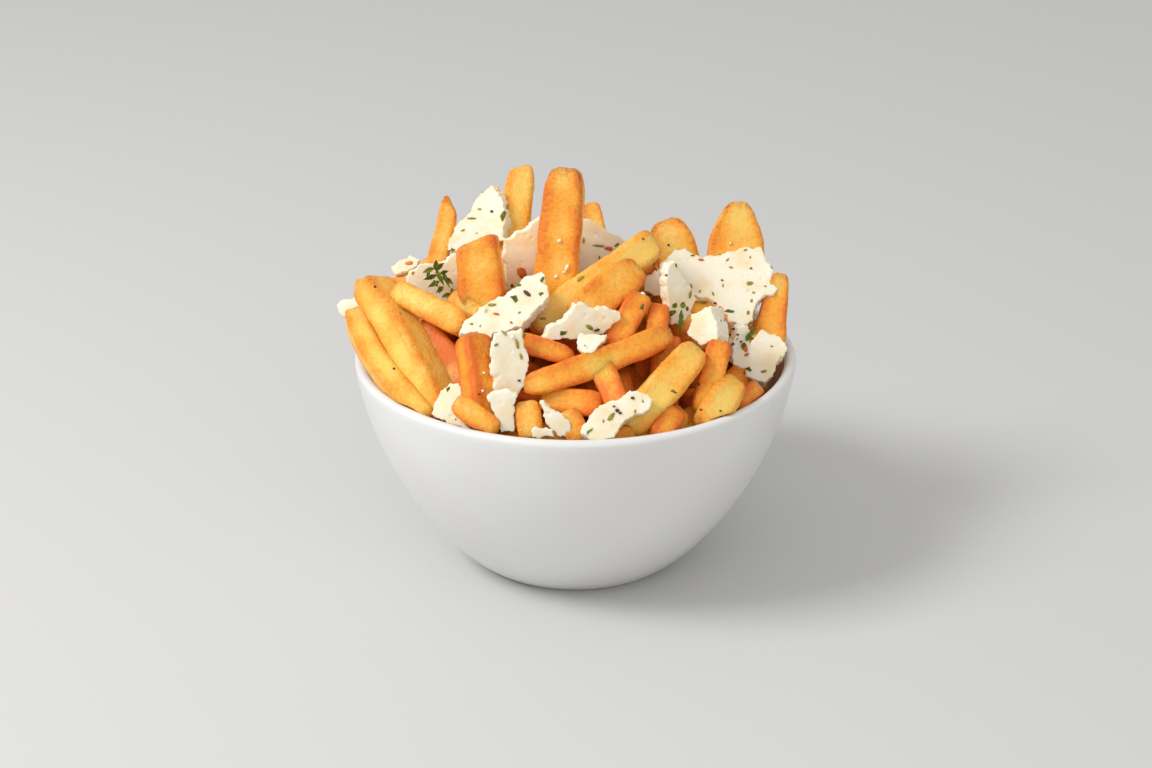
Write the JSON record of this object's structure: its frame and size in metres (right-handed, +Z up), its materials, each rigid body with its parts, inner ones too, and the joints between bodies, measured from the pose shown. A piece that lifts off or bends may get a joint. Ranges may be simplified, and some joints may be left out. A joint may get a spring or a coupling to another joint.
{
  "type": "french fries portion",
  "caption": "Round-bellied white ceramic bowl heaped with thick-cut french fries, topped with broken slabs of white cheese and parsley.",
  "frame": {"origin": "centre of the bowl's foot, on the surface it stands on", "axes": "+Z up along the bowl's axis, -Y towards the front, the side the picture shows, +X to its right"},
  "size_m": [0.1354, 0.13, 0.1207],
  "materials": {
    "ceramic": "smooth satin white glaze",
    "fries": "golden fried potato, browned at the edges and tips, slightly blistered and oily",
    "cheese": "moist white cheese with broken, crumbly edges and specks of herb and pepper",
    "parsley": "matte dark green leaf"
  },
  "bodies": {
    "root": {"bowl": "ceramic", "fries_heap": "fries", "cheese_top_left": "cheese", "cheese_hanging_sheet": "cheese", "cheese_front_shard": "cheese", "cheese_folded": "cheese", "cheese_lobe": "cheese", "cheese_left_rim": "cheese", "cheese_shred": "cheese", "cheese_crumb_front": "cheese", "cheese_front_rim": "cheese", "cheese_right_leaning": "cheese", "cheese_right_large": "cheese", "cheese_right_block": "cheese", "cheese_right_rim": "cheese", "cheese_peppered": "cheese", "cheese_back_peak": "cheese", "cheese_behind_left": "cheese", "cheese_behind_right": "cheese", "cheese_with_sprig": "cheese", "cheese_left_back": "cheese", "cheese_over_rim": "cheese", "cheese_small_middle": "cheese", "cheese_rear_large": "cheese", "cheese_rear_left": "cheese", "cheese_rear_right": "cheese", "cheese_rear_shred": "cheese", "cheese_side_left": "cheese", "parsley_sprig": "parsley", "parsley_long": "parsley", "parsley_rim": "parsley"}
  },
  "joints": []
}
